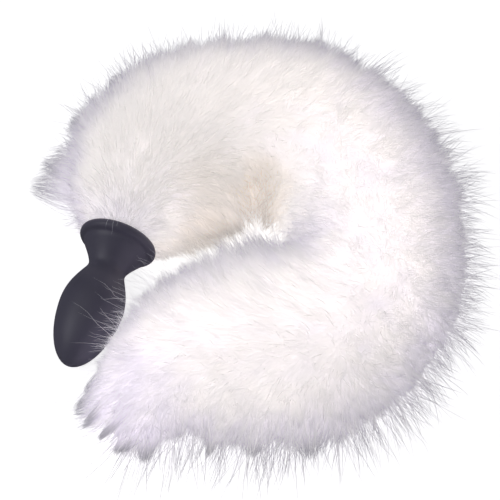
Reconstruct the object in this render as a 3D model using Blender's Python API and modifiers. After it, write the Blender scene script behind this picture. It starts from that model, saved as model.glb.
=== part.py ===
"""White faux fur fox tail on a matte black silicone plug, lying curled on a flat surface.

Metres, +Z up, the surface at z = 0. The plug points to the front left, and the tail leaves
its flange to the back, curls over the right side and ends at the front left.
"""
import bpy
import bmesh
import math
import random
from mathutils import Matrix, Vector

MM = 0.001
CLEARANCE = 0.3 * MM
WELD = 0.01 * MM
SEED = 11

# Plug
PLUG_LENGTH = 80.5 * MM
BULB_RADIUS = 17.5 * MM
NECK_RADIUS = 9.9 * MM
FLANGE_RADIUS = 21.6 * MM
RIM_THICKNESS = 5.5 * MM
RIM_ROUND = 0.42 * RIM_THICKNESS
COLLAR_RADIUS = 17.9 * MM
COLLAR_SHOULDER = 0.96 * COLLAR_RADIUS
COLLAR_RISE = 3.2 * MM
FLARE_CURVE = 1.35
NECK_POSITION = 21.0 * MM
BULB_POSITION = 44.0 * MM
TIP_REACH_CURVE = 1.9
TIP_ROUND_CURVE = 0.52
PLUG_TURN = math.radians(18.2)
PLUG_STEPS = 28
TIP_ROWS = 9
WAIST_ROWS = 7
FLARE_ROWS = 5
RIM_ROWS = 5

# Stud between plug and tail
SHANK_RADIUS = 3.5 * MM
SHANK_LENGTH = 12.0 * MM
BARREL_RADIUS = 5.0 * MM
BARREL_LENGTH = 18.0 * MM
STUD_CHAMFER = 0.8 * MM
STUD_STEPS = 20

# Tail
TAIL_LENGTH = 405.0 * MM
FUR_HALF_WIDTH = 45.0 * MM
FUR_HEIGHT = 75.0 * MM
ROOT_RADIUS = 15.5 * MM
FUR_GAP = 1.0 * MM
ROUTE_STEPS = 480
RINGS = 34
RING_POINTS = 18
ROOT_CROWDING = 1.1

# Locks
LOCK_LENGTH = 19.0 * MM
LOCK_HALF_WIDTH = 9.0 * MM
LOCK_HALF_THICKNESS = 4.6 * MM
LOCK_SINK = 6.0 * MM
LOCK_SIDES = 5
LOCK_SPACING_ALONG = 20.0 * MM
LOCK_SPACING_AROUND = 22.0 * MM
FIRST_LOCKS = 12.0 * MM
LAST_LOCKS = 0.97 * TAIL_LENGTH
TIP_STRETCH = 0.8 * TAIL_LENGTH
TIP_SPACING = 0.8
FEWEST_AROUND = 4
LOWEST_LOCK = math.radians(122.0)
CROWN_EXTRA = 0.5
LOCK_BEND = 0.22
LOCK_DROOP = 0.10
FLOOR_SPREAD = 0.25
TIP_LIFT = 0.3
CORNER_OFFSET = 0.25
SPREAD_AROUND = 0.12
SPREAD_ALONG = 0.18
SPREAD_LENGTH = 0.15
SPREAD_WIDTH = 0.12
SPREAD_LEAN = 7.0

# Share of a lock's run, share of its full width and thickness there
LOCK_ROWS = (
    (0.00, 0.80),
    (0.42, 1.00),
    (0.74, 0.62),
)

# Stretches of the route: share of the tail's length, turn to the left in degrees
ROUTE = (
    (0.031, 0.0),
    (0.237, -74.0),
    (0.128, -52.0),
    (0.198, -50.0),
    (0.148, -64.0),
    (0.094, -11.0),
    (0.123, 42.0),
    (0.041, 0.0),
)

# Backing sections after the root: share along, half width, crown height, underside height
# The widths are shares of FUR_HALF_WIDTH and the heights are shares of FUR_HEIGHT
SECTIONS = (
    (0.025, 0.60, 0.68, -0.01),
    (0.065, 0.80, 0.88, -0.05),
    (0.130, 0.96, 1.00, -0.06),
    (0.250, 1.01, 1.04, -0.06),
    (0.400, 1.00, 1.02, -0.06),
    (0.580, 0.98, 1.00, -0.06),
    (0.700, 1.04, 1.00, -0.06),
    (0.790, 1.02, 0.97, -0.06),
    (0.870, 0.84, 0.84, -0.06),
    (0.930, 0.66, 0.66, -0.05),
    (0.975, 0.44, 0.46, -0.04),
    (1.000, 0.20, 0.28, 0.00),
)

# How the locks lie: share along, lean towards the tip in degrees at the sides and at the
# crown, length share, width share
LAY = (
    (0.00, -10.0, 10.0, 0.80, 0.80),
    (0.10, 6.0, 34.0, 1.00, 1.00),
    (0.30, 20.0, 56.0, 1.00, 1.00),
    (0.60, 26.0, 60.0, 1.00, 1.00),
    (0.78, 28.0, 58.0, 1.05, 1.00),
    (0.88, 24.0, 46.0, 0.85, 0.85),
    (1.00, 30.0, 50.0, 0.85, 0.65),
)

# Single tufts: share along, degrees from the crown to the right, lean, length share, width share
TUFTS = (
    (0.040, -96.0, -22.0, 1.90, 1.25),
    (0.120, -78.0, 0.0, 1.30, 1.10),
    (0.690, -97.0, 20.0, 1.40, 1.10),
    (0.770, -97.0, 24.0, 1.40, 1.10),
    (0.930, -96.0, 40.0, 1.60, 1.10),
    (0.985, 92.0, 60.0, 1.15, 0.90),
    (0.990, -70.0, 50.0, 1.60, 0.90),
    (0.990, 10.0, 76.0, 1.20, 0.90),
)


def clear_scene():
    for item in list(bpy.data.objects):
        bpy.data.objects.remove(item, do_unlink=True)


def new_collection(name):
    made = bpy.data.collections.new(name)
    bpy.context.scene.collection.children.link(made)
    return made


def material(name, colour, roughness, metallic=0.0):
    made = bpy.data.materials.new(name)
    made.use_nodes = True
    shader = made.node_tree.nodes["Principled BSDF"]
    shader.inputs["Base Color"].default_value = (*colour, 1.0)
    shader.inputs["Roughness"].default_value = roughness
    shader.inputs["Metallic"].default_value = metallic
    made.diffuse_color = (*colour, 1.0)
    return made


def mesh_object(name, points, faces, collection, finish=None, smooth=True):
    mesh = bpy.data.meshes.new(name)
    mesh.from_pydata([tuple(point) for point in points], [], faces)
    mesh.update()
    for face in mesh.polygons:
        face.use_smooth = smooth
    made = bpy.data.objects.new(name, mesh)
    collection.objects.link(made)
    if finish:
        mesh.materials.append(finish)
    return made


def as_cutter(item):
    item.hide_render = True
    item.display_type = "WIRE"


def turned(name, profile, steps, collection, finish=None):
    """Turn a profile of (radius, height) rows, listed from the top down, about local Z."""
    mesh = bpy.data.meshes.new(name)
    points = [(radius, 0.0, height) for radius, height in profile]
    edges = [(row, row + 1) for row in range(len(points) - 1)]
    mesh.from_pydata(points, edges, [])
    made = bpy.data.objects.new(name, mesh)
    collection.objects.link(made)
    screw = made.modifiers.new("turning", "SCREW")
    screw.axis = "Z"
    screw.angle = math.tau
    screw.steps = steps
    screw.render_steps = steps
    screw.use_merge_vertices = True
    screw.merge_threshold = 0.00001
    screw.use_smooth_shade = True
    if finish:
        mesh.materials.append(finish)
    return made


def blend(rows, share):
    """The columns of a table at a share between its rows, with rounded passages."""
    last = len(rows) - 1
    share = min(max(share, rows[0][0]), rows[last][0])
    low = 0
    while low < last - 1 and rows[low + 1][0] < share:
        low += 1
    high = low + 1
    span = rows[high][0] - rows[low][0]
    part = (share - rows[low][0]) / span

    def slope(row, column):
        before = max(row - 1, 0)
        after = min(row + 1, last)
        rise = rows[after][column] - rows[before][column]
        return rise / (rows[after][0] - rows[before][0])

    found = []
    for column in range(1, len(rows[0])):
        start = rows[low][column]
        end = rows[high][column]
        leave = slope(low, column) * span
        arrive = slope(high, column) * span
        found.append(
            start * (2 * part ** 3 - 3 * part ** 2 + 1)
            + leave * (part ** 3 - 2 * part ** 2 + part)
            + end * (3 * part ** 2 - 2 * part ** 3)
            + arrive * (part ** 3 - part ** 2)
        )
    return found


def plug_tilt():
    """The plug rests on its flange and its bulb, so its axis dips towards the tip."""
    rim_middle = RIM_THICKNESS / 2
    return min(
        math.atan2(FLANGE_RADIUS - radius, position - rim_middle)
        for radius, position in plug_outside() if position > NECK_POSITION
    )


def flange_centre_height():
    """Height of the middle of the flange's back face."""
    tilt = plug_tilt()
    return FLANGE_RADIUS * math.cos(tilt) + RIM_THICKNESS / 2 * math.sin(tilt)


def plug_outside():
    """Radius and distance from the flange's back face, from the tip back to that face."""
    rows = [(0.0, PLUG_LENGTH)]
    for row in range(1, TIP_ROWS):
        reach = math.sin(math.pi / 2 * (1 - row / TIP_ROWS))
        radius = BULB_RADIUS * (1 - reach ** TIP_REACH_CURVE) ** TIP_ROUND_CURVE
        rows.append((radius, BULB_POSITION + (PLUG_LENGTH - BULB_POSITION) * reach))
    for row in range(WAIST_ROWS):
        part = 1 - row / WAIST_ROWS
        radius = NECK_RADIUS + (BULB_RADIUS - NECK_RADIUS) * math.sin(part * math.pi / 2)
        rows.append((radius, NECK_POSITION + (BULB_POSITION - NECK_POSITION) * part))
    collar_top = RIM_THICKNESS + COLLAR_RISE
    for row in range(FLARE_ROWS):
        part = row / FLARE_ROWS
        radius = NECK_RADIUS + (COLLAR_SHOULDER - NECK_RADIUS) * part ** FLARE_CURVE
        rows.append((radius, NECK_POSITION + (collar_top - NECK_POSITION) * part))
    rows += [
        (COLLAR_SHOULDER, collar_top),
        (COLLAR_RADIUS, collar_top - COLLAR_RISE / 3),
        (COLLAR_RADIUS, RIM_THICKNESS),
        (FLANGE_RADIUS - RIM_ROUND, RIM_THICKNESS),
    ]
    for row in range(1, RIM_ROWS + 1):
        turn = math.pi * row / (RIM_ROWS + 1)
        radius = FLANGE_RADIUS - RIM_ROUND * (1 - math.sin(turn))
        rows.append((radius, RIM_THICKNESS / 2 * (1 + math.cos(turn))))
    rows.append((FLANGE_RADIUS - RIM_ROUND, 0.0))
    return rows


def plug_profile():
    """The plug's outside, then its blind socket for the stud."""
    socket_radius = SHANK_RADIUS + CLEARANCE
    socket_depth = SHANK_LENGTH + CLEARANCE
    return plug_outside() + [
        (socket_radius, 0.0),
        (socket_radius, socket_depth),
        (0.0, socket_depth),
    ]


def fur_parting_profile():
    """The plug's outside grown by the gap that the fur keeps from it."""
    grown = [(radius + FUR_GAP, position) for radius, position in plug_outside()[1:]]
    return [(0.0, PLUG_LENGTH + FUR_GAP)] + grown + [(0.0, 0.0)]


def stud_profile():
    """The shank reaches into the plug (up) and the barrel into the tail (down)."""
    foot = -CLEARANCE - BARREL_LENGTH
    return [
        (0.0, SHANK_LENGTH),
        (SHANK_RADIUS - STUD_CHAMFER, SHANK_LENGTH),
        (SHANK_RADIUS, SHANK_LENGTH - STUD_CHAMFER),
        (SHANK_RADIUS, -CLEARANCE),
        (BARREL_RADIUS - STUD_CHAMFER, -CLEARANCE),
        (BARREL_RADIUS, -CLEARANCE - STUD_CHAMFER),
        (BARREL_RADIUS, foot + STUD_CHAMFER),
        (BARREL_RADIUS - STUD_CHAMFER, foot),
        (0.0, foot),
    ]


def plug_pose():
    """Local +Z runs from the flange's back face to the plug's tip."""
    tilt = plug_tilt()
    towards_tip = Vector((
        -math.sin(PLUG_TURN) * math.cos(tilt),
        -math.cos(PLUG_TURN) * math.cos(tilt),
        -math.sin(tilt),
    ))
    right = towards_tip.cross(Vector((0.0, 0.0, 1.0))).normalized()
    up = right.cross(towards_tip)
    turn = Matrix((right, up, towards_tip)).transposed().to_4x4()
    return Matrix.Translation((0.0, 0.0, flange_centre_height())) @ turn


class Route:
    """The tail's plan route from the flange, and the backing's sections along it."""

    def __init__(self):
        self.steps = ROUTE_STEPS
        heading = math.pi / 2 - PLUG_TURN
        place = Vector((0.0, 0.0))
        pace = TAIL_LENGTH / self.steps
        self.places = [place.copy()]
        self.headings = [heading]
        for step in range(self.steps):
            heading += self.turn_rate((step + 0.5) / self.steps) / self.steps
            place += Vector((math.cos(heading), math.sin(heading))) * pace
            self.places.append(place.copy())
            self.headings.append(heading)
        middle = flange_centre_height()
        root = (
            0.0,
            ROOT_RADIUS / FUR_HALF_WIDTH,
            (middle + ROOT_RADIUS) / FUR_HEIGHT,
            (middle - ROOT_RADIUS) / FUR_HEIGHT,
        )
        self.sections = (root,) + SECTIONS

    def turn_rate(self, share):
        begun = 0.0
        for stretch, turn in ROUTE:
            begun += stretch
            if share <= begun:
                return math.radians(turn) / stretch
        return 0.0

    def section(self, share):
        """Centre, right-hand side, forward direction, half width and half height."""
        spot = min(max(share, 0.0), 1.0) * self.steps
        low = min(int(spot), self.steps - 1)
        part = spot - low
        place = self.places[low].lerp(self.places[low + 1], part)
        heading = self.headings[low] * (1 - part) + self.headings[low + 1] * part
        half_width, crown, underside = blend(self.sections, share)
        half_height = (crown - underside) * FUR_HEIGHT / 2
        centre = Vector((place.x, place.y, (crown + underside) * FUR_HEIGHT / 2))
        forward = Vector((math.cos(heading), math.sin(heading), 0.0))
        side = Vector((forward.y, -forward.x, 0.0))
        return centre, side, forward, half_width * FUR_HALF_WIDTH, half_height

    def skin(self, share, around):
        """A point of the backing with its outward normal; around runs from the crown."""
        centre, side, forward, half_width, half_height = self.section(share)
        up = Vector((0.0, 0.0, 1.0))
        point = centre + side * half_width * math.sin(around)
        point += up * half_height * math.cos(around)
        normal = side * math.sin(around) / half_width + up * math.cos(around) / half_height
        return point, normal.normalized(), forward


def make_backing(route, collection, finish):
    points = []
    for ring in range(RINGS):
        share = (ring / (RINGS - 1)) ** ROOT_CROWDING
        for corner in range(RING_POINTS):
            around = math.tau * corner / RING_POINTS
            if ring:
                point = route.skin(share, around)[0]
            else:
                on_face = Vector((-math.sin(around), math.cos(around), 0.0)) * ROOT_RADIUS
                on_face.z = -CLEARANCE
                point = plug_pose() @ on_face
            points.append(point)
    faces = []
    for ring in range(RINGS - 1):
        for corner in range(RING_POINTS):
            beside = (corner + 1) % RING_POINTS
            start = ring * RING_POINTS
            ahead = start + RING_POINTS
            faces.append((start + corner, start + beside, ahead + beside, ahead + corner))
    faces.append(tuple(reversed(range(RING_POINTS))))
    last = (RINGS - 1) * RING_POINTS
    faces.append(tuple(range(last, last + RING_POINTS)))
    return mesh_object("fur_tail", points, faces, collection, finish)


def add_lock(points, faces, spot, lean_degrees, length_share, width_share):
    """One pointed lock: rings on a bending path from under the skin, then a tip."""
    root, normal, forward = spot
    lean = math.radians(lean_degrees)
    width = LOCK_HALF_WIDTH * width_share
    thickness = LOCK_HALF_THICKNESS * width_share
    run = LOCK_LENGTH * length_share + LOCK_SINK
    across = forward.cross(normal).normalized()
    reach = normal * math.cos(lean) + forward * math.sin(lean)
    if reach.z < 0.0:
        reach.z *= FLOOR_SPREAD
        reach.normalize()
    start = root - normal * LOCK_SINK
    bend = forward * LOCK_BEND - Vector((0.0, 0.0, LOCK_DROOP))
    first = len(points)
    for part, size in LOCK_ROWS:
        middle = start + reach * run * part + bend * run * part ** 2
        along = (reach + bend * 2 * part).normalized()
        face_up = along.cross(across).normalized()
        for corner in range(LOCK_SIDES):
            turn = math.tau * (corner + CORNER_OFFSET) / LOCK_SIDES
            offset = across * math.cos(turn) * width + face_up * math.sin(turn) * thickness
            points.append(middle + offset * size)
    tip = start + reach * run + bend * run
    tip.z = max(tip.z, thickness * TIP_LIFT)
    points.append(tip)
    for row in range(len(LOCK_ROWS) - 1):
        for corner in range(LOCK_SIDES):
            beside = (corner + 1) % LOCK_SIDES
            low = first + row * LOCK_SIDES
            high = low + LOCK_SIDES
            faces.append((low + corner, low + beside, high + beside, high + corner))
    top = first + (len(LOCK_ROWS) - 1) * LOCK_SIDES
    for corner in range(LOCK_SIDES):
        faces.append((top + corner, top + (corner + 1) % LOCK_SIDES, len(points) - 1))
    faces.append(tuple(reversed(range(first, first + LOCK_SIDES))))


def make_locks(route, collection):
    dice = random.Random(SEED)
    points = []
    faces = []
    travelled = FIRST_LOCKS
    row = 0
    while travelled < LAST_LOCKS:
        half_width, half_height = route.section(travelled / TAIL_LENGTH)[3:]
        arc = LOWEST_LOCK * (half_width + half_height)
        count = max(FEWEST_AROUND, round(arc / LOCK_SPACING_AROUND))
        shift = 0.5 * (1 - row % 2)
        for place in range(count + row % 2):
            across = (place + shift + dice.uniform(-SPREAD_AROUND, SPREAD_AROUND)) / count
            around = LOWEST_LOCK * (2 * min(max(across, 0.0), 1.0) - 1)
            step = dice.uniform(-SPREAD_ALONG, SPREAD_ALONG) * LOCK_SPACING_ALONG
            spot = (travelled + step) / TAIL_LENGTH
            side_lean, crown_lean, length, width = blend(LAY, spot)
            crown = max(math.cos(around), 0.0)
            lean = side_lean + (crown_lean - side_lean) * crown
            lean += dice.uniform(-SPREAD_LEAN, SPREAD_LEAN)
            length *= 1 + CROWN_EXTRA * crown
            length *= 1 + dice.uniform(-SPREAD_LENGTH, SPREAD_LENGTH)
            width *= 1 + dice.uniform(-SPREAD_WIDTH, SPREAD_WIDTH)
            add_lock(points, faces, route.skin(spot, around), lean, length, width)
        travelled += LOCK_SPACING_ALONG * (1.0 if travelled < TIP_STRETCH else TIP_SPACING)
        row += 1
    for share, degrees, lean, length, width in TUFTS:
        add_lock(points, faces, route.skin(share, math.radians(degrees)), lean, length, width)
    return mesh_object("fur_locks", points, faces, collection)


def boolean(item, cutter, operation, name, overlapping=False):
    step = item.modifiers.new(name, "BOOLEAN")
    step.operation = operation
    step.solver = "EXACT"
    step.use_self = overlapping
    step.object = cutter


def keep_main_shell(item):
    """Make the cuts final and drop closed-in voids, cut-off lock ends and flat folds."""
    bpy.context.view_layer.update()
    graph = bpy.context.evaluated_depsgraph_get()
    final = bpy.data.meshes.new_from_object(item.evaluated_get(graph), depsgraph=graph)
    final.name = item.name
    work = bmesh.new()
    work.from_mesh(final)
    bmesh.ops.remove_doubles(work, verts=work.verts, dist=WELD)
    bmesh.ops.dissolve_degenerate(work, dist=WELD, edges=work.edges)
    bmesh.ops.triangulate(work, faces=work.faces)
    waiting = set(work.faces)
    shells = []
    while waiting:
        shell = set()
        front = [waiting.pop()]
        while front:
            face = front.pop()
            shell.add(face)
            seams = [edge for edge in face.edges if len(edge.link_faces) == 2]
            beside = {other for edge in seams for other in edge.link_faces} & waiting
            waiting -= beside
            front.extend(beside)
        shells.append(shell)
    main_shell = max(shells, key=len)
    strays = [face for face in work.faces if face not in main_shell]
    bmesh.ops.delete(work, geom=strays, context="FACES")
    work.to_mesh(final)
    work.free()
    item.modifiers.clear()
    item.data = final


def box(name, low, high, collection):
    corners = [(x, y, z) for x in (low[0], high[0]) for y in (low[1], high[1])
               for z in (low[2], high[2])]
    faces = [(0, 1, 3, 2), (4, 6, 7, 5), (0, 4, 5, 1), (2, 3, 7, 6), (0, 2, 6, 4), (1, 5, 7, 3)]
    return mesh_object(name, corners, faces, collection, smooth=False)


def evaluated_bounds(items):
    bpy.context.view_layer.update()
    graph = bpy.context.evaluated_depsgraph_get()
    points = []
    for item in items:
        final = item.evaluated_get(graph)
        mesh = final.to_mesh()
        points += [final.matrix_world @ corner.co for corner in mesh.vertices]
        final.to_mesh_clear()
    low = Vector([min(point[axis] for point in points) for axis in range(3)])
    high = Vector([max(point[axis] for point in points) for axis in range(3)])
    return low, high


def centre_on_origin(parts, cutters):
    """Put the middle of the object's plan at the origin and its lowest point at z = 0."""
    low, high = evaluated_bounds(parts)
    shift = Vector(((low.x + high.x) / 2, (low.y + high.y) / 2, low.z))
    for item in parts + cutters:
        item.location -= shift


def main():
    clear_scene()
    parts = new_collection("fox_tail_plug")
    tools = new_collection("cutters")
    silicone = material("black_silicone", (0.045, 0.044, 0.053), 0.55)
    fur = material("white_fur", (0.90, 0.88, 0.87), 0.95)
    stud = material("stud_plastic", (0.75, 0.75, 0.74), 0.5)

    plug = turned("silicone_plug", plug_profile(), PLUG_STEPS, parts, silicone)
    post = turned("tail_post", stud_profile(), STUD_STEPS, parts, stud)
    plug.matrix_world = plug_pose()
    post.matrix_world = plug_pose()

    route = Route()
    tail = make_backing(route, parts, fur)
    locks = make_locks(route, tools)
    reach = TAIL_LENGTH + FUR_HEIGHT
    floor = box("floor_cut", (-reach, -reach, -FUR_HEIGHT), (reach, reach, 0.0), tools)
    socket_depth = BARREL_LENGTH + 2 * CLEARANCE
    socket_radius = BARREL_RADIUS + CLEARANCE
    socket = turned("stud_socket", [
        (0.0, RIM_THICKNESS),
        (socket_radius, RIM_THICKNESS),
        (socket_radius, -socket_depth),
        (0.0, -socket_depth),
    ], STUD_STEPS, tools)
    socket.matrix_world = plug_pose()
    parting = turned("fur_parting", fur_parting_profile(), PLUG_STEPS, tools)
    parting.matrix_world = plug_pose()
    boolean(tail, locks, "UNION", "locks", overlapping=True)
    boolean(tail, floor, "DIFFERENCE", "floor")
    boolean(tail, socket, "DIFFERENCE", "socket")
    boolean(tail, parting, "DIFFERENCE", "parting")
    keep_main_shell(tail)
    cutters = [locks, floor, socket, parting]
    for cutter in cutters:
        as_cutter(cutter)
    centre_on_origin([plug, post, tail], cutters)


main()
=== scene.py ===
"""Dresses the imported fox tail: a matte silicone plug and deep white fur built strand by strand."""

import math

import bmesh
import bpy
import numpy as np
from mathutils import Matrix, Vector


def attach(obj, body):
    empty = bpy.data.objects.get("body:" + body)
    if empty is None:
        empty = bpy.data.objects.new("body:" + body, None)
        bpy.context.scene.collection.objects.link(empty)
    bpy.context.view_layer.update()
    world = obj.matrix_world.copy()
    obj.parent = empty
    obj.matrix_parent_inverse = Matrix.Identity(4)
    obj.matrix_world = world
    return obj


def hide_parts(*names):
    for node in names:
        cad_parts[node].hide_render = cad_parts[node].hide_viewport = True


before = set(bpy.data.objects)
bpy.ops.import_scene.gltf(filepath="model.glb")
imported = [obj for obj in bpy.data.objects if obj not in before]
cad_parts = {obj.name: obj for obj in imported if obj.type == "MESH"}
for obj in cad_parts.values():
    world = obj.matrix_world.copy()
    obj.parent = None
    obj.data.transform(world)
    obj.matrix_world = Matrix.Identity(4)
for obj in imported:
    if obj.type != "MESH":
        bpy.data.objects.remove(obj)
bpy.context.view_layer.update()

bl_info = {
    "name": "Fox tail with silicone plug",
    "version": (1, 0, 0),
    "blender": (4, 5, 0),
    "location": "3D View > Sidebar > Fox Tail",
    "description": "Builds a curled white fur tail on a matte silicone plug",
    "category": "Add Mesh",
}

MM = 0.001
UP = np.array((0.0, 0.0, 1.0))
FUR_MAP = "OFBake"

# The middle of the flange's back face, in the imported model's frame
FLANGE_PLACE = (-72.71 * MM, 14.52 * MM, 21.72 * MM)

# Stretches of the tail's route: share of its length, turn to the left in degrees
ROUTE = (
    (0.031, 0.0),
    (0.237, -74.0),
    (0.128, -52.0),
    (0.198, -50.0),
    (0.148, -64.0),
    (0.094, -11.0),
    (0.123, 42.0),
    (0.041, 0.0),
)

# Sections of the tail: share along, half width, crown height, underside height
SECTIONS = (
    (0.000, 0.345, 0.495, 0.083),
    (0.025, 0.60, 0.68, -0.01),
    (0.065, 0.80, 0.88, -0.05),
    (0.130, 0.96, 1.00, -0.06),
    (0.250, 1.01, 1.04, -0.06),
    (0.400, 1.00, 1.02, -0.06),
    (0.580, 0.98, 1.00, -0.06),
    (0.700, 1.04, 1.00, -0.06),
    (0.790, 1.02, 0.97, -0.06),
    (0.870, 0.84, 0.84, -0.06),
    (0.930, 0.66, 0.66, -0.05),
    (0.975, 0.44, 0.46, -0.04),
    (1.000, 0.20, 0.28, 0.00),
)

# Rows in each rounded stretch of the plug's outline: the tip, the collar's roll and the flange's rim
PLUG_PROFILE_STEPS = {"tip": 26, "collar": 7, "rim": 12}

# The middle of the hollow that the curl closes round, where painted brownish shade darkens the
# undercoat
CURL_HEART = (2.0 * MM, 18.0 * MM, 30.0 * MM)

# Stretches of the pile, one piece each: name, first share along, last share along
PILE_STRETCHES = (
    ("fur_pile_root", 0.000, 0.170),
    ("fur_pile_back", 0.170, 0.345),
    ("fur_pile_bend", 0.345, 0.545),
    ("fur_pile_front", 0.545, 0.760),
    ("fur_pile_tip", 0.760, 1.000),
)

# How the pile lies: share along, then length in mm on the outside of the curl, on the crown and
# inside the curl, then the lean towards the tip in degrees at the same three places
PILE_LAY = (
    (0.000, 6.0, 10.0, 9.0, -2.0, -6.0, -4.0),
    (0.030, 13.0, 14.0, 15.0, -4.0, 4.0, -6.0),
    (0.060, 19.0, 17.0, 20.0, -4.0, 12.0, -8.0),
    (0.100, 22.0, 20.0, 24.0, 0.0, 20.0, -8.0),
    (0.150, 18.0, 20.0, 24.0, 4.0, 26.0, -4.0),
    (0.200, 16.0, 20.0, 12.0, 6.0, 30.0, 0.0),
    (0.250, 17.0, 20.0, 7.0, 6.0, 32.0, 6.0),
    (0.400, 16.0, 20.0, 7.0, 4.0, 32.0, 8.0),
    (0.500, 10.0, 20.0, 10.0, 4.0, 32.0, 8.0),
    (0.600, 8.5, 20.0, 15.0, 4.0, 34.0, 6.0),
    (0.680, 8.5, 20.0, 20.0, 6.0, 34.0, 4.0),
    (0.740, 17.0, 20.0, 24.0, 8.0, 36.0, 2.0),
    (0.780, 10.0, 20.0, 28.0, 10.0, 38.0, 0.0),
    (0.840, 14.0, 19.0, 27.0, 12.0, 40.0, -2.0),
    (0.885, 12.0, 17.0, 22.0, 18.0, 42.0, -4.0),
    (0.915, 9.0, 15.0, 16.0, 22.0, 43.0, 0.0),
    (0.945, 10.0, 15.0, 10.0, 36.0, 50.0, 28.0),
    (0.970, 14.0, 16.0, 11.0, 58.0, 62.0, 68.0),
    (1.000, 16.0, 20.0, 19.0, 74.0, 76.0, 78.0),
)

# How the long hairs lie, in the same columns
GUARD_LAY = (
    (0.000, 15.0, 14.0, 10.0, -16.0, -6.0, -6.0),
    (0.050, 30.0, 22.0, 20.0, -8.0, 6.0, -8.0),
    (0.120, 36.0, 27.0, 25.0, 0.0, 18.0, -6.0),
    (0.200, 31.0, 28.0, 20.0, 4.0, 26.0, 0.0),
    (0.300, 31.0, 28.0, 18.0, 4.0, 30.0, 8.0),
    (0.420, 34.0, 28.0, 18.0, 4.0, 30.0, 8.0),
    (0.520, 27.0, 27.0, 18.0, 2.0, 30.0, 8.0),
    (0.600, 29.0, 27.0, 23.0, 4.0, 32.0, 6.0),
    (0.680, 34.0, 26.0, 28.0, 6.0, 34.0, 4.0),
    (0.800, 40.0, 25.0, 31.0, 8.0, 36.0, 0.0),
    (0.885, 42.0, 22.0, 26.0, 16.0, 40.0, -6.0),
    (0.940, 43.0, 22.0, 14.0, 34.0, 50.0, 24.0),
    (1.000, 42.0, 36.0, 36.0, 70.0, 74.0, 76.0),
)

# Long tufts: share along, degrees from the crown towards the inside, lean, length in mm,
# spread in mm
TUFTS = (
    (0.045, -92.0, -12.0, 38.0, 5.0),
    (0.055, -84.0, -8.0, 32.0, 5.0),
    (0.066, -90.0, -8.0, 27.0, 5.5),
    (0.100, -84.0, -4.0, 27.0, 5.0),
    (0.140, -74.0, 0.0, 24.0, 4.5),
    (0.072, 112.0, 4.0, 18.0, 6.0),
    (0.095, 112.0, 6.0, 20.0, 6.0),
    (0.120, 96.0, -6.0, 25.0, 6.0),
    (0.150, 96.0, -2.0, 24.0, 6.0),
    (0.745, -98.0, 10.0, 25.0, 5.0),
    (0.800, -100.0, 12.0, 20.0, 4.5),
    (0.850, -100.0, 20.0, 22.0, 4.5),
    (0.975, -92.0, 46.0, 21.0, 4.0),
    (0.990, -84.0, 74.0, 17.0, 4.0),
    (0.995, -30.0, 82.0, 20.0, 4.0),
    (0.995, 20.0, 84.0, 21.0, 4.0),
    (0.985, 70.0, 76.0, 21.0, 4.0),
    (0.972, 82.0, 72.0, 14.0, 4.0),
)

# Single hairs over the plug: share along, degrees from the crown towards the inside, heading and
# rise in degrees, length in mm, how many, spread of the roots in mm
STRAYS = (
    (0.908, 58.0, 150.0, 8.0, 23.0, 26, 4.5),
    (0.926, 62.0, 158.0, 5.0, 19.0, 22, 4.5),
    (0.945, 64.0, 168.0, 2.0, 15.0, 12, 4.0),
    (0.936, 60.0, 141.0, 4.0, 41.0, 1, 0.5),
    (0.931, 61.0, 144.0, 3.0, 36.0, 1, 0.8),
    (0.941, 66.0, 153.0, 3.0, 38.0, 1, 0.5),
    (0.944, 64.0, 157.0, 3.0, 31.0, 1, 0.8),
    (0.880, 50.0, 150.0, 8.0, 28.0, 4, 3.0),
    (0.845, 70.0, 124.0, 5.0, 27.0, 46, 8.0),
    (0.875, 64.0, 128.0, 7.0, 36.0, 26, 5.0),
    (0.895, 62.0, 143.0, 7.0, 40.0, 7, 4.0),
    (0.020, 96.0, -70.0, -30.0, 14.0, 8, 3.0),
    (0.010, -4.0, -104.0, 12.0, 14.0, 4, 1.5),
)


# --- sizes and colours ---


class PlugSizes(bpy.types.PropertyGroup):
    length: bpy.props.FloatProperty(
        name="Length", description="Plug from flange to tip",
        default=80.5 * MM, unit="LENGTH")
    bulb_radius: bpy.props.FloatProperty(
        name="Bulb radius", description="Widest radius of the bulb",
        default=17.5 * MM, unit="LENGTH")
    bulb_position: bpy.props.FloatProperty(
        name="Bulb position", description="Widest place, from the flange's back",
        default=44.0 * MM, unit="LENGTH")
    neck_radius: bpy.props.FloatProperty(
        name="Neck radius", description="Radius at the waist",
        default=9.9 * MM, unit="LENGTH")
    neck_position: bpy.props.FloatProperty(
        name="Neck position", description="The waist, from the flange's back",
        default=21.0 * MM, unit="LENGTH")
    collar_radius: bpy.props.FloatProperty(
        name="Collar radius", description="Radius of the step on the flange",
        default=17.9 * MM, unit="LENGTH")
    collar_rise: bpy.props.FloatProperty(
        name="Collar rise", description="Height of the step on the flange",
        default=3.2 * MM, unit="LENGTH")
    flange_radius: bpy.props.FloatProperty(
        name="Flange radius", description="Outer radius of the flange",
        default=21.6 * MM, unit="LENGTH")
    rim_thickness: bpy.props.FloatProperty(
        name="Rim thickness", description="Thickness of the flange at its edge",
        default=5.5 * MM, unit="LENGTH")
    socket_radius: bpy.props.FloatProperty(
        name="Socket radius", description="Radius of the hole that takes the stud",
        default=3.8 * MM, unit="LENGTH")
    socket_depth: bpy.props.FloatProperty(
        name="Socket depth", description="Depth of the hole that takes the stud",
        default=12.3 * MM, unit="LENGTH")
    turn: bpy.props.FloatProperty(
        name="Turn", description="How far the plug turns from straight towards the viewer",
        default=math.radians(18.2), subtype="ANGLE")
    tilt: bpy.props.FloatProperty(
        name="Tilt", description="How far the plug's tip dips as it lies",
        default=math.radians(5.28), subtype="ANGLE")
    colour: bpy.props.FloatVectorProperty(
        name="Silicone", description="Colour of the silicone",
        default=(0.082, 0.078, 0.114), size=3, subtype="COLOR")


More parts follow.
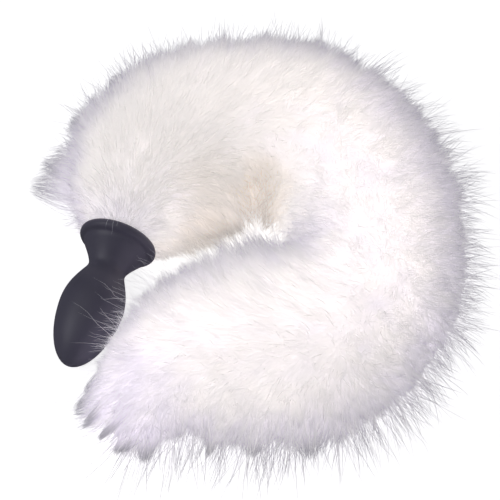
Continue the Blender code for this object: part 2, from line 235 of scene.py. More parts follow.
class FurSizes(bpy.types.PropertyGroup):
    tail_length: bpy.props.FloatProperty(
        name="Tail length", description="Length along the middle of the tail",
        default=405.0 * MM, unit="LENGTH")
    half_width: bpy.props.FloatProperty(
        name="Half width", description="Half width of the backing where it is full",
        default=45.0 * MM, unit="LENGTH")
    height: bpy.props.FloatProperty(
        name="Height", description="Height of the backing where it is full",
        default=75.0 * MM, unit="LENGTH")
    pile_length: bpy.props.FloatProperty(
        name="Pile length", description="Length of the dense pile against the usual one",
        default=1.0, min=0.5, max=1.3)
    hole_radius: bpy.props.FloatProperty(
        name="Hole radius", description="Radius of the hole in the root that takes the stud",
        default=5.3 * MM, unit="LENGTH")
    hole_depth: bpy.props.FloatProperty(
        name="Hole depth", description="Depth of the hole in the root that takes the stud",
        default=18.4 * MM, unit="LENGTH")
    hair_width: bpy.props.FloatProperty(
        name="Hair width", description="Width of a strand of the pile",
        default=0.24 * MM, unit="LENGTH")
    strands: bpy.props.IntProperty(
        name="Strands", description="Strands in each stretch of the pile",
        default=34000, min=1000, max=39000)
    seed: bpy.props.IntProperty(
        name="Seed", description="Changes how the strands fall", default=7)
    cream: bpy.props.FloatVectorProperty(
        name="Cream white", description="Colour of the pile on the crown",
        default=(0.95, 0.918, 0.902), size=3, subtype="COLOR")
    # Painted shade: a cool lilac white near the roots along the edges, which get less light
    shade_lavender: bpy.props.FloatVectorProperty(
        name="Lavender white", description="Colour near the roots along the edges",
        default=(0.80, 0.765, 0.835), size=3, subtype="COLOR")
    # Painted shade: dark tips along the edges, where the fringe gets less light
    shade_grey: bpy.props.FloatVectorProperty(
        name="Tip grey", description="Colour of the hair tips along the edges",
        default=(0.42, 0.41, 0.465), size=3, subtype="COLOR")
    # Painted shade: a pinkish beige near the roots inside the curl, where shadow falls
    shade_blush: bpy.props.FloatVectorProperty(
        name="Blush", description="Colour near the roots inside the curl",
        default=(0.92, 0.85, 0.79), size=3, subtype="COLOR")
    # Painted shade: brownish tips deep inside the curl, where shadow falls
    shade_dun: bpy.props.FloatVectorProperty(
        name="Dun", description="Colour of the hair tips inside the curl",
        default=(0.50, 0.46, 0.40), size=3, subtype="COLOR")
    # Painted glow: emission on the fur, which is no lamp, standing in for light scattered between
    # its hairs
    painted_glow: bpy.props.FloatProperty(
        name="Glow", description="Light that white fur passes on between its hairs",
        default=0.40, min=0.0, max=1.0)


# --- shader maths ---


class Value:
    """A socket that takes part in Python expressions by adding Math nodes."""

    def __init__(self, tree, socket):
        self.tree = tree
        self.socket = socket

    def maths(self, operation, first, second=0.0):
        node = self.tree.nodes.new("ShaderNodeMath")
        node.operation = operation
        for slot, value in enumerate((first, second)):
            if isinstance(value, Value):
                self.tree.links.new(value.socket, node.inputs[slot])
            else:
                node.inputs[slot].default_value = value
        return Value(self.tree, node.outputs[0])

    def __add__(self, other):
        return self.maths("ADD", self, other)

    __radd__ = __add__

    def __mul__(self, other):
        return self.maths("MULTIPLY", self, other)

    __rmul__ = __mul__

    def __sub__(self, other):
        return self.maths("SUBTRACT", self, other)

    def __rsub__(self, other):
        return self.maths("SUBTRACT", other, self)

    def __pow__(self, other):
        return self.maths("POWER", self, other)


class Finish:
    """A material being made from nodes."""

    def __init__(self, name):
        self.material = bpy.data.materials.new(name)
        self.material.use_nodes = True
        self.tree = self.material.node_tree
        self.shader = self.tree.nodes["Principled BSDF"]

    def node(self, kind, settings=None, **sockets):
        """Adds a node: its settings first, then the values or links of its sockets."""
        made = self.tree.nodes.new(kind)
        for name, value in (settings or {}).items():
            if name == "stops":
                ramp = made.color_ramp
                while len(ramp.elements) < len(value):
                    ramp.elements.new(0.5)
                for element, (position, colour) in zip(ramp.elements, value):
                    element.position = position
                    element.color = (*colour, 1.0)
            else:
                setattr(made, name, value)
        for name, value in sockets.items():
            self.feed(made.inputs[name.replace("_", " ")], value)
        return made

    def feed(self, socket, value):
        if isinstance(value, Value):
            self.tree.links.new(value.socket, socket)
        elif isinstance(value, bpy.types.NodeSocket):
            self.tree.links.new(value, socket)
        else:
            socket.default_value = value

    def value(self, socket):
        return Value(self.tree, socket)

    def set(self, **sockets):
        for name, value in sockets.items():
            self.feed(self.shader.inputs[name.replace("_", " ")], value)


def silicone_finish(colour):
    """Matte silicone: a soft velvety surface with a very fine grain."""
    finish = Finish("matte_silicone")
    place = finish.node("ShaderNodeTexCoord").outputs["Object"]
    cloud = finish.node("ShaderNodeTexNoise", Vector=place, Scale=42.0, Detail=3.0)
    grain = finish.node("ShaderNodeTexNoise", Vector=place, Scale=2600.0, Detail=2.0)
    rough = finish.value(cloud.outputs["Fac"]) * 0.08 + 0.45
    shade = finish.node(
        "ShaderNodeMix", {"data_type": "RGBA"}, Factor=cloud.outputs["Fac"])
    finish.feed(shade.inputs[6], (*[part * 0.86 for part in colour], 1.0))
    finish.feed(shade.inputs[7], (*[part * 1.12 for part in colour], 1.0))
    relief = finish.node(
        "ShaderNodeBump", Strength=0.12, Distance=0.00004, Height=grain.outputs["Fac"])
    finish.set(
        Base_Color=shade.outputs[2], Roughness=rough, Normal=relief.outputs["Normal"],
        Sheen_Weight=0.03, Sheen_Roughness=0.45, Sheen_Tint=(0.75, 0.78, 1.0, 1.0))
    finish.set(Specular_IOR_Level=0.5)
    return finish.material


def pile_finish(name, fur, onset, depth=1.0):
    """Fur strands: the map's U holds the tone of a strand, painted shade included, and its V runs
    from root to tip.
    """
    finish = Finish(name)
    # depth darkens the painted shade colours of the tips
    shade_grey = [part * depth for part in fur.shade_grey]
    shade_dun = [part * depth for part in fur.shade_dun]
    here = finish.node("ShaderNodeUVMap", {"uv_map": FUR_MAP}).outputs["UV"]
    parts = finish.node("ShaderNodeSeparateXYZ", Vector=here)
    # Painted shade: low U gives the brownish shade of the curl, high U the cool dark shade of the
    # edges, cream between
    roots = finish.node("ShaderNodeValToRGB", {"stops": (
        (0.00, fur.shade_blush), (0.45, fur.cream), (0.60, fur.cream), (1.00, fur.shade_lavender),
    )}, Fac=parts.outputs["X"])
    tips = finish.node("ShaderNodeValToRGB", {"stops": (
        (0.00, shade_dun), (0.45, fur.cream), (0.55, fur.cream), (1.00, shade_grey),
    )}, Fac=parts.outputs["X"])
    along = finish.value(parts.outputs["Y"])
    change = finish.value(finish.node(
        "ShaderNodeMapRange", {"interpolation_type": "SMOOTHSTEP"}, Value=along,
        From_Min=onset, From_Max=1.0).outputs["Result"])
    coat = finish.node("ShaderNodeMix", {"data_type": "RGBA"}, Factor=change)
    finish.feed(coat.inputs[6], roots.outputs["Color"])
    finish.feed(coat.inputs[7], tips.outputs["Color"])
    # Painted glow: the strands also emit their colour, painted shade included, standing in for light
    # scattered between hairs
    finish.set(Base_Color=coat.outputs[2], Roughness=0.72, Emission_Color=coat.outputs[2])
    finish.set(Specular_IOR_Level=0.2, Emission_Strength=fur.painted_glow)
    return finish.material


def undercoat_finish(fur):
    """The dense wool close to the backing, seen only between strands."""
    finish = Finish("fur_undercoat")
    place = finish.node("ShaderNodeTexCoord").outputs["Object"]
    tuft = finish.node("ShaderNodeTexNoise", Vector=place, Scale=420.0, Detail=4.0)
    wave = finish.node("ShaderNodeTexNoise", Vector=place, Scale=60.0, Detail=2.0)
    # Random mottling between cream and the lilac colour of the painted edge shade
    mixed = finish.node("ShaderNodeMix", {"data_type": "RGBA"}, Factor=wave.outputs["Fac"])
    finish.feed(mixed.inputs[6], (*fur.cream, 1.0))
    finish.feed(mixed.inputs[7], (*fur.shade_lavender, 1.0))
    away = finish.node(
        "ShaderNodeVectorMath", {"operation": "DISTANCE"}, Vector=place).inputs[1]
    away.default_value = CURL_HEART
    fade = finish.node(
        "ShaderNodeMapRange", {"interpolation_type": "SMOOTHSTEP"},
        Value=finish.value(away.node.outputs["Value"]), From_Min=0.020, From_Max=0.044)
    # Painted shade: the undercoat turns brownish around the middle of the curl, where shadow falls
    hollow = finish.node(
        "ShaderNodeMix", {"data_type": "RGBA"}, Factor=fade.outputs["Result"])
    finish.feed(hollow.inputs[6], (*[0.5 * (a + b) for a, b in zip(fur.shade_dun, fur.shade_blush)], 1.0))
    finish.feed(hollow.inputs[7], mixed.outputs[2])
    relief = finish.node(
        "ShaderNodeBump", Strength=0.6, Distance=0.0009, Height=tuft.outputs["Fac"])
    # Painted glow: the undercoat also emits its colour, standing in for light scattered between
    # hairs
    finish.set(
        Base_Color=hollow.outputs[2], Roughness=0.9, Normal=relief.outputs["Normal"],
        Emission_Color=hollow.outputs[2])
    finish.set(Emission_Strength=fur.painted_glow)
    return finish.material


# --- the plug ---


def plug_matrix(plug):
    """Local +Z runs from the flange's back face to the plug's tip."""
    towards_tip = Vector((
        -math.sin(plug.turn) * math.cos(plug.tilt),
        -math.cos(plug.turn) * math.cos(plug.tilt),
        -math.sin(plug.tilt),
    ))
    right = towards_tip.cross(Vector((0.0, 0.0, 1.0))).normalized()
    turn = Matrix((right, right.cross(towards_tip), towards_tip)).transposed().to_4x4()
    return Matrix.Translation(FLANGE_PLACE) @ turn


def waist_rows(plug, start_radius, start_place):
    """Radius and distance from the bulb's widest place to the collar, with a rounded waist."""
    places = np.linspace(start_place, plug.bulb_position, 121)
    part = np.clip((plug.neck_position - places) / (plug.neck_position - start_place), 0, 1)
    flare = plug.neck_radius + (start_radius - plug.neck_radius) * part ** 1.35
    part = (places - plug.neck_position) / (plug.bulb_position - plug.neck_position)
    swell = (plug.bulb_radius - plug.neck_radius) * np.sin(np.clip(part, 0, 1) * math.pi / 2)
    radii = np.where(places < plug.neck_position, flare, plug.neck_radius + swell)
    reach = np.linspace(-2.2, 2.2, 37)
    bell = np.exp(-reach ** 2)
    padded = np.pad(radii, 18, mode="reflect", reflect_type="odd")
    rounded = np.convolve(padded, bell / bell.sum(), mode="valid")
    return [(float(radius), float(place)) for radius, place in zip(rounded, places)][::-4]


def softened(rows, blur):
    """The same line at even steps, its corners rounded over about the length given."""
    corners = np.array(rows)
    travel = np.concatenate(((0,), np.cumsum(np.linalg.norm(np.diff(corners, axis=0), axis=1))))
    stops = np.linspace(0, travel[-1], int(travel[-1] / (0.25 * MM)))
    line = np.stack([np.interp(stops, travel, corners[:, side]) for side in (0, 1)], axis=-1)
    reach = np.arange(-8, 9) * (stops[1] - stops[0]) / blur
    bell = np.exp(-0.5 * reach ** 2)
    padded = np.pad(line, ((8, 8), (0, 0)), mode="reflect", reflect_type="odd")
    soft = np.stack([
        np.convolve(padded[:, side], bell / bell.sum(), mode="valid") for side in (0, 1)
    ], axis=-1)
    return [(float(radius), float(place)) for radius, place in soft[::3]]


def plug_outline(plug):
    """Radius and distance from the flange's back face, from the tip back to that face."""
    steps = PLUG_PROFILE_STEPS
    rim_round = 0.42 * plug.rim_thickness
    rows = [(0.0, plug.length)]
    for row in range(1, steps["tip"]):
        reach = math.sin(math.pi / 2 * (1 - row / steps["tip"]))
        radius = plug.bulb_radius * (1 - reach ** 1.9) ** 0.52
        rows.append((radius, plug.bulb_position + (plug.length - plug.bulb_position) * reach))
    roll = 0.95 * plug.collar_rise
    roll_start = math.radians(50.0)
    roll_middle = plug.rim_thickness + 0.35 * plug.collar_rise
    roll_radius = plug.collar_radius - roll
    rows += waist_rows(
        plug, roll_radius + roll * math.sin(roll_start),
        roll_middle + roll * math.cos(roll_start))
    for row in range(1, steps["collar"] + 1):
        turn = roll_start + (math.pi / 2 - roll_start) * row / steps["collar"]
        rows.append((
            roll_radius + roll * math.sin(turn), roll_middle + roll * math.cos(turn)))
    rows += [
        (plug.collar_radius * 1.006, plug.rim_thickness * 1.07),
        (plug.flange_radius - rim_round, plug.rim_thickness),
    ]
    rows = rows[:steps["tip"]] + softened(rows[steps["tip"]:], 0.7 * MM)
    for row in range(1, steps["rim"] + 1):
        turn = math.pi * row / (steps["rim"] + 1)
        radius = plug.flange_radius - rim_round * (1 - math.sin(turn))
        rows.append((radius, plug.rim_thickness / 2 * (1 + math.cos(turn))))
    rows.append((plug.flange_radius - rim_round, 0.0))
    return rows


def socket_rows(plug):
    """The blind hole in the flange's back face that takes the stud."""
    return [
        (plug.socket_radius, 0.0),
        (plug.socket_radius, plug.socket_depth),
        (0.0, plug.socket_depth),
    ]


def shown_object(name, mesh, finish, smooth=True):
    """A finished piece at the origin, riding on the one body."""
    mesh.materials.append(finish)
    if smooth:
        mesh.shade_smooth()
    made = bpy.data.objects.new(name, mesh)
    bpy.context.scene.collection.objects.link(made)
    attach(made, "root")
    return made


def build_plug(plug):
    work = bmesh.new()
    outline = plug_outline(plug) + socket_rows(plug)
    corners = [work.verts.new((radius, 0.0, place)) for radius, place in outline]
    edges = [work.edges.new(pair) for pair in zip(corners, corners[1:])]
    bmesh.ops.spin(
        work, geom=corners + edges, cent=(0, 0, 0), axis=(0, 0, 1), dvec=(0, 0, 0),
        angle=math.tau, steps=96, use_merge=True, use_duplicate=False)
    bmesh.ops.remove_doubles(work, verts=work.verts, dist=0.00001)
    bmesh.ops.transform(work, matrix=plug_matrix(plug), verts=work.verts)
    bmesh.ops.recalc_face_normals(work, faces=work.faces)
    mesh = bpy.data.meshes.new("plug_body")
    work.to_mesh(mesh)
    work.free()
    piece = shown_object("plug_body", mesh, silicone_finish(plug.colour))
    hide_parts("silicone_plug")


def stud_finish():
    """Pale moulded plastic with a slightly uneven skin."""
    finish = Finish("moulded_plastic")
    place = finish.node("ShaderNodeTexCoord").outputs["Object"]
    flow = finish.node("ShaderNodeTexNoise", Vector=place, Scale=260.0, Detail=3.0)
    tint = finish.node("ShaderNodeValToRGB", {"stops": (
        (0.30, (0.70, 0.70, 0.69)), (0.70, (0.78, 0.78, 0.77)),
    )}, Fac=flow.outputs["Fac"])
    relief = finish.node(
        "ShaderNodeBump", Strength=0.2, Distance=0.0001, Height=flow.outputs["Fac"])
    rough = finish.value(flow.outputs["Fac"]) * 0.15 + 0.42
    finish.set(
        Base_Color=tint.outputs["Color"], Roughness=rough, Normal=relief.outputs["Normal"])
    return finish.material


def dress_post():
    """The hidden stud keeps its own form and gets a plastic finish."""
    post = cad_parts["tail_post"]
    post.data.materials.clear()
    post.data.materials.append(stud_finish())


# --- the tail's form ---


def smooth_columns(rows, share):
    """The columns of a table at shares between its rows, with rounded passages."""
    table = np.array(rows)
    marks = table[:, 0]
    slopes = np.gradient(table[:, 1:], marks, axis=0)
    low = np.clip(np.searchsorted(marks, share, side="right") - 1, 0, len(marks) - 2)
    span = (marks[low + 1] - marks[low])[:, None]
    part = np.clip((share - marks[low]) / (marks[low + 1] - marks[low]), 0, 1)[:, None]
    return (
        table[low, 1:] * (2 * part ** 3 - 3 * part ** 2 + 1)
        + slopes[low] * span * (part ** 3 - 2 * part ** 2 + part)
        + table[low + 1, 1:] * (3 * part ** 2 - 2 * part ** 3)
        + slopes[low + 1] * span * (part ** 3 - part ** 2)
    )


def unit(rows):
    return rows / np.maximum(np.linalg.norm(rows, axis=-1, keepdims=True), 1e-12)


class Tail:
    """The curled route and the sections along it, for whole arrays of places at once."""

    def __init__(self, plug, fur):
        steps = 960
        self.marks = np.linspace(0.0, 1.0, steps + 1)
        middles = (self.marks[1:] + self.marks[:-1]) / 2
        ends = np.cumsum([stretch for stretch, turn in ROUTE])
        rates = np.array([math.radians(turn) / stretch for stretch, turn in ROUTE])
        rate = rates[np.minimum(np.searchsorted(ends, middles), len(rates) - 1)]
        heading = math.pi / 2 - plug.turn + np.concatenate(((0.0,), np.cumsum(rate / steps)))
        pace = fur.tail_length / steps
        self.heading = heading
        self.x = FLANGE_PLACE[0] + np.concatenate(((0,), np.cumsum(np.cos(heading[1:])))) * pace
        self.y = FLANGE_PLACE[1] + np.concatenate(((0,), np.cumsum(np.sin(heading[1:])))) * pace
        self.bend = np.interp(self.marks, middles, -rate) / fur.tail_length
        self.form = smooth_columns(SECTIONS, self.marks)
        self.fur = fur

    def at(self, share):
        """Centre, right-hand side, forward, half width, half height and curl at shares."""
        share = np.clip(share, 0.0, 1.0)
        heading = np.interp(share, self.marks, self.heading)
        half_width, crown, underside = (
            np.interp(share, self.marks, self.form[:, column]) for column in range(3))
        centre = np.stack((
            np.interp(share, self.marks, self.x),
            np.interp(share, self.marks, self.y),
            (crown + underside) * self.fur.height / 2,
        ), axis=-1)
        forward = np.stack((np.cos(heading), np.sin(heading), 0 * heading), axis=-1)
        side = np.stack((forward[:, 1], -forward[:, 0], 0 * heading), axis=-1)
        return (
            centre, side, forward, half_width * self.fur.half_width,
            (crown - underside) * self.fur.height / 2,
            np.interp(share, self.marks, self.bend),
        )

    def skin(self, share, around, depth=0.93):
        """Places on the backing, shrunk by depth, with outward normals and forward."""
        centre, side, forward, half_width, half_height, curl = self.at(share)
        sine, cosine = np.sin(around)[:, None], np.cos(around)[:, None]
        place = centre + depth * (side * half_width[:, None] * sine
                                  + UP * half_height[:, None] * cosine)
        normal = unit(side * sine / half_width[:, None] + UP * cosine / half_height[:, None])
        return place, normal, forward


def build_undercoat(plug, fur, tail):
    """One closed body under the pile: a ring drawn along the route and shaped at each stop."""
    share = np.linspace(0.0, 1.0, 110) ** 1.05
    centre, side, forward, half_width, half_height, curl = tail.at(share)
    shapes = []
    for row in range(len(share)):
        shape = Matrix((
            Vector(side[row]) * half_width[row] * 0.93,
            Vector(UP) * half_height[row] * 0.93,
            Vector(forward[row]),
        )).transposed().to_4x4()
        shapes.append(Matrix.Translation(Vector(centre[row])) @ shape)
    mouth = plug_matrix(plug) @ Matrix.Translation((0.0, 0.0, -0.6 * MM))
    shapes[0] = mouth @ Matrix.Diagonal((
        -half_width[0] * 0.93, half_height[0] * 0.93, 1.0, 1.0))
    hole = Matrix.Diagonal((-fur.hole_radius, fur.hole_radius, 1.0, 1.0))
    shapes.insert(0, mouth @ hole)
    shapes.insert(0, mouth @ Matrix.Translation((0.0, 0.0, -fur.hole_depth)) @ hole)
    work = bmesh.new()
    ring = bmesh.ops.create_circle(work, cap_ends=True, segments=44, radius=1.0)["verts"]
    bmesh.ops.transform(work, matrix=shapes[0], verts=ring)
    rim = [edge for edge in work.edges]
    for before, after in zip(shapes, shapes[1:]):
        drawn = bmesh.ops.extrude_edge_only(work, edges=rim)["geom"]
        corners = [item for item in drawn if isinstance(item, bmesh.types.BMVert)]
        rim = [item for item in drawn if isinstance(item, bmesh.types.BMEdge)]
        rim = [edge for edge in rim if all(end in corners for end in edge.verts)]
        bmesh.ops.transform(work, matrix=after @ before.inverted(), verts=corners)
    bmesh.ops.contextual_create(work, geom=rim)
    bmesh.ops.recalc_face_normals(work, faces=work.faces)
    low = 0.8 * MM
    for corner in work.verts:
        corner.co.z = max(corner.co.z, low)
    mesh = bpy.data.meshes.new("fur_undercoat")
    work.to_mesh(mesh)
    work.free()
    piece = shown_object("fur_undercoat", mesh, undercoat_finish(fur))
    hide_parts("fur_tail")


# --- strands ---


class PlugGuard:
    """Keeps strands out of the plug: a point inside it moves out to its surface."""

    def __init__(self, plug):
        rows = np.array(plug_outline(plug))[1:]
        order = np.argsort(rows[:, 1])
        self.places = rows[order, 1]
        self.radii = rows[order, 0]
        self.length = plug.length
        matrix = np.array(plug_matrix(plug))
        self.turn = matrix[:3, :3]
        self.origin = matrix[:3, 3]

    def clear(self, points, gap=0.35 * MM):
        local = (points - self.origin) @ self.turn
        radius = np.linalg.norm(local[..., :2], axis=-1)
        wanted = np.interp(local[..., 2], self.places, self.radii) + gap
        inside = (local[..., 2] > -0.5 * gap) & (local[..., 2] < self.length + gap)
        inside &= radius < wanted
        push = np.where(inside, wanted / np.maximum(radius, 1e-6), 1.0)
        local[..., :2] *= push[..., None]
        return self.origin + local @ self.turn.T


def strand_mesh(name, lines, half_widths, facing, normals, tone):
    """Joins tapered ribbons into one mesh.

    lines is strands x points x 3, half_widths strands x (points - 1), and facing and normals
    strands x 3; each ribbon ends in a point.
    """
    count, stops = lines.shape[:2]
    along = np.gradient(lines, axis=1)
    across = unit(np.cross(along, facing[:, None, :]))[:, :-1]
    offset = across * half_widths[..., None]
    left, right = lines[:, :-1] - offset, lines[:, :-1] + offset
    pairs = np.stack((left, right), axis=2).reshape(count, -1, 3)
    corners = np.concatenate((pairs, lines[:, -1:]), axis=1)
    per = corners.shape[1]
    quads = [(2 * k, 2 * k + 1, 2 * k + 3, 2 * k + 2) for k in range(stops - 2)]
    tip = (per - 3, per - 2, per - 1)
    pattern = np.array([corner for quad in quads for corner in quad] + list(tip))
    sizes = np.array([4] * len(quads) + [3])
    starts = np.concatenate(((0,), np.cumsum(sizes)[:-1]))
    base = np.arange(count)[:, None]
    mesh = bpy.data.meshes.new(name)
    mesh.vertices.add(count * per)
    mesh.vertices.foreach_set("co", corners.astype(np.float32).ravel())
    mesh.loops.add(count * len(pattern))
    mesh.loops.foreach_set("vertex_index", (pattern + base * per).astype(np.int32).ravel())
    mesh.polygons.add(count * len(sizes))
    mesh.polygons.foreach_set(
        "loop_start", (starts + base * len(pattern)).astype(np.int32).ravel())
    mesh.update(calc_edges=True)
    part = np.repeat(np.arange(stops - 1) / (stops - 1), 2)
    height = np.concatenate((part, (1.0,)))[pattern]
    lean = np.concatenate((np.tile((-1.0, 1.0), stops - 1), (0.0,)))[pattern] * 0.006
    layer = mesh.uv_layers.new(name=FUR_MAP)
    places = np.empty((count, len(pattern), 2))
    places[..., 0] = np.clip(tone, 0.01, 0.99)[:, None] + lean
    places[..., 1] = 0.01 + 0.98 * height
    layer.data.foreach_set("uv", places.astype(np.float32).ravel())
    mesh.shade_smooth()
    mesh.normals_split_custom_set_from_vertices(np.repeat(normals, per, axis=0))
    return mesh


def scatter(dice, tail, count, first, last, widest, weight=None):
    """Random places on the tail, even over its area and on the outside of the curl too."""
    shares, arounds = [], []
    found = 0
    while found < count:
        share = dice.uniform(first, last, count)
        around = dice.uniform(-widest, widest, count)
        centre, side, forward, half_width, half_height, curl = tail.at(share)
        girth = (half_width + half_height) / (2 * tail.fur.half_width)
        stretch = np.clip(1.0 - curl * half_width * np.sin(around), 0.3, 1.8)
        chance = girth * stretch / 1.9
        if weight is not None:
            chance = chance * weight(share, around)
        low = centre[:, 2] + half_height * np.cos(around)
        chance = np.where(low < 1.0 * MM, 0.0, chance)
        keep = dice.random(count) < chance
        shares.append(share[keep])
        arounds.append(around[keep])
        found += int(keep.sum())
    return np.concatenate(shares)[:count], np.concatenate(arounds)[:count]


def near_floor(lines, floor):
    """Strands that would pass through the surface lie along it instead."""
    lines[..., 2] = np.maximum(lines[..., 2], floor)
    return lines


def rising(value, start, end):
    """0 before start, 1 after end, smooth between them."""
    part = np.clip((value - start) / (end - start), 0, 1)
    return part * part * (3 - 2 * part)


def shade_of(dice, share, around):
    """Tone from 0, painted brownish shade inside the curl, over 0.5, cream crown, to 1, painted dark
    shade at the edges.
    """
    degrees = np.degrees(around)
    # Painted shade: the sides of the tail, its tip and its root, which get less light, move towards
    # the dark edge colours
    outer_start = np.interp(
        share, (0.0, 0.1, 0.38, 0.52, 0.62, 0.72, 0.85, 1.0), (42, 14, 6, 16, 32, 56, 62, 40))
    outer = rising(-degrees, outer_start, outer_start + 50.0)
    inner = rising(degrees, 16.0, 66.0)
    edge = np.maximum(outer, inner * rising(share, 0.42, 0.62))
    edge = np.maximum(edge, 0.85 * rising(share, 0.90, 0.985))
    edge = np.maximum(edge, 0.55 * rising(-share, -0.05, 0.0))
    # Painted shade: brownish deep in the curl, pinkish near the root inside, darker low on the
    # inside
    curl_shade = rising(degrees, 30.0, 78.0) * np.exp(-((share - 0.275) / 0.085) ** 2)
    shade_blush = rising(degrees, 10.0, 60.0) * np.exp(-((share - 0.10) / 0.08) ** 2)
    low = rising(degrees, 66.0, 96.0) * (1 - rising(share, 0.40, 0.50))
    # Cream crown tone, moved towards the painted edge shade along the bend and near the tip, where
    # the lamps light it more
    crown_tone_and_shade = 0.50 + 0.14 * rising(share, 0.28, 0.46) + 0.08 * rising(share, 0.80, 0.95)
    tone = crown_tone_and_shade + (1.0 - crown_tone_and_shade) * edge
    tone = tone * (1 - 0.82 * curl_shade) * (1 - 0.45 * shade_blush) * (1 - 0.55 * low)
    return tone + dice.normal(0, 0.03, len(share)) * (1 + 3.0 * edge)


def lay_of(rows, share, around):
    """Length in metres and lean in radians where a hair grows."""
    lay = smooth_columns(rows, share)
    crown = np.clip(np.cos(around), 0, 1) ** 2
    inner = around > 0
    side_length = np.where(inner, lay[:, 2], lay[:, 0])
    side_lean = np.where(inner, lay[:, 5], lay[:, 3])
    length = (side_length + (lay[:, 1] - side_length) * crown) * MM
    return length, np.radians(side_lean + (lay[:, 4] - side_lean) * crown)


def heading_of(normal, forward, lean, swing):
    """Unit directions of hairs, kept from diving into the surface below."""
    sideways = np.cross(forward, normal)
    out = (normal * np.cos(lean)[:, None]
           + forward * np.sin(lean)[:, None] + sideways * np.sin(swing)[:, None])
    out[:, 2] = np.where(out[:, 2] < 0, out[:, 2] * 0.25, out[:, 2])
    return unit(out)


def curve_of(root, out, bend, length, stops):
    """Points along hairs that start along out and end turned towards bend."""
    reach = (length[:, None] * stops)[..., None]
    return root[:, None] + out[:, None] * reach + bend[:, None] * reach * stops[:, None]


def gather(lines, owner, groups, pull):
    """Draws the hairs of each group together towards their tips."""
    middle = np.zeros((groups, 3))
    np.add.at(middle, owner, lines[:, -1])
    middle /= np.bincount(owner, minlength=groups)[:, None]
    lines += (middle[owner] - lines[:, -1])[:, None] * pull


def unruly(dice, share, around, strength):
    """Slow waves over the coat that make its edge uneven."""
    waves = np.zeros(len(share))
    for pace, turn in ((17.0, 1.0), (31.0, 2.0), (53.0, 1.0), (88.0, 3.0)):
        waves += np.sin(math.tau * share * pace + turn * around + dice.uniform(0, math.tau))
    return 1.0 + strength * waves / 2.0


def tufted(dice, tail, share, around):
    """Groups along the edge: how far each hair leans to its group's middle, and its length."""
    groups = 74
    place = share * groups + 0.55 * np.sin(2.3 * around) + 0.45 * np.sin(math.tau * 5 * share)
    group = np.clip(np.floor(place).astype(int), -2, groups + 1)
    pitch = tail.fur.tail_length / groups
    centre, side, forward, half_width, half_height, curl = tail.at(share)
    stretch = np.clip(1.0 - curl * half_width * np.sin(around), 0.3, 1.8)
    sizes = dice.uniform(0.62, 1.16, groups + 4)
    nudge = dice.normal(0, 0.3, groups + 4)
    flank = np.clip(np.abs(np.sin(around)), 0, 1) ** 3
    shift = (group + 0.5 - place) * 0.95 + nudge[group + 2]
    return flank * shift * pitch * stretch, 1.0 + flank * (sizes[group + 2] - 1.0)


def thin_inside(share, around):
    """Few hairs grow inside the curl, where the tail folds on itself."""
    inner = np.clip((np.degrees(around) - 55.0) / 25.0, 0, 1)
    return 1.0 - 0.72 * inner * np.exp(-((share - 0.27) / 0.17) ** 4)


def build_pile(fur, tail, guard, row, finish):
    """One stretch of the dense pile: clumps of strands that draw together at their tips."""
    name, first, last = PILE_STRETCHES[row]
    dice = np.random.default_rng(fur.seed * 100 + row)
    waves = np.random.default_rng(fur.seed * 100 + 60)
    per_clump = 24
    clumps = fur.strands // per_clump
    clump_share, clump_around = scatter(
        dice, tail, clumps, first, last, math.radians(150), thin_inside)
    owner = np.repeat(np.arange(clumps), per_clump)
    count = len(owner)
    centre, side, forward, half_width, half_height, curl = tail.at(clump_share)
    stretch = np.clip(1.0 - curl * half_width * np.sin(clump_around), 0.3, 1.8)
    spread = 2.6 * MM
    share = clump_share[owner] + (
        dice.normal(0, spread, count) / (fur.tail_length * stretch[owner]))
    share = np.clip(share, 0.0, 1.0)
    around = clump_around[owner] + dice.normal(0, spread, count) / half_width[owner]
    root, normal, forward = tail.skin(share, around)
    length, lean = lay_of(PILE_LAY, share, around)
    lean += np.radians(dice.normal(0, 8, clumps)[owner] + dice.normal(0, 7, count))
    swing = np.radians(dice.normal(0, 8, clumps)[owner] + dice.normal(0, 8, count))
    out = heading_of(normal, forward, lean, swing)
    flank = np.clip(np.abs(np.sin(around)), 0, 1) ** 2
    length *= fur.pile_length * unruly(waves, share, around, 0.14)
    length *= 1.0 + flank * dice.uniform(-0.40, 0.42, clumps)[owner]
    length *= 1.0 - (0.34 + 0.26 * flank) * dice.random(count)
    bend = forward * 0.08 - UP * 0.12 + dice.normal(0, 0.06, (count, 3))
    stops = np.array((0.0, 0.38, 0.72, 1.0))
    shift, size = tufted(np.random.default_rng(fur.seed * 100 + 70), tail, share, around)
    length *= size
    lines = curve_of(root, out, bend, length, stops)
    lines += (forward * shift[:, None])[:, None] * (stops ** 2)[:, None]
    gather(lines, owner, clumps, ((0.22 + 0.58 * flank)[:, None] * stops ** 2)[..., None])
    lines = near_floor(lines, 0.35 * MM + dice.random(count)[:, None] * 1.2 * MM)
    lines = guard.clear(lines)
    widths = 0.5 * fur.hair_width * np.array((0.9, 1.0, 0.70))
    half_widths = widths * dice.uniform(0.75, 1.2, (count, 1))
    facing = unit(normal + UP * 0.5 + dice.normal(0, 0.5, (count, 3)))
    normals = unit(normal + out * 0.08 + UP * 0.4 + dice.normal(0, 0.05, (count, 3)))
    # The tone places each strand on the ramps of painted shade, brownish in the curl and dark at the
    # edges
    tone = shade_of(dice, share, around)
    tone += dice.normal(0, 0.03, clumps)[owner] * (1 + 3.0 * np.clip(2 * tone - 1, 0, 1))
    mesh = strand_mesh(name, lines, half_widths, facing, normals, tone)
    piece = shown_object(name, mesh, finish, smooth=False)


def edges_first(share, around):
    """Long hairs show mostly low along the edges."""
    flank = np.clip(np.abs(np.sin(around)), 0, 1) ** 3
    inner_tip = np.clip((np.degrees(around) - 20) / 40, 0, 1) * (share > 0.86)
    return (0.08 + 0.92 * flank) * thin_inside(share, around) * (1 - 0.7 * inner_tip)


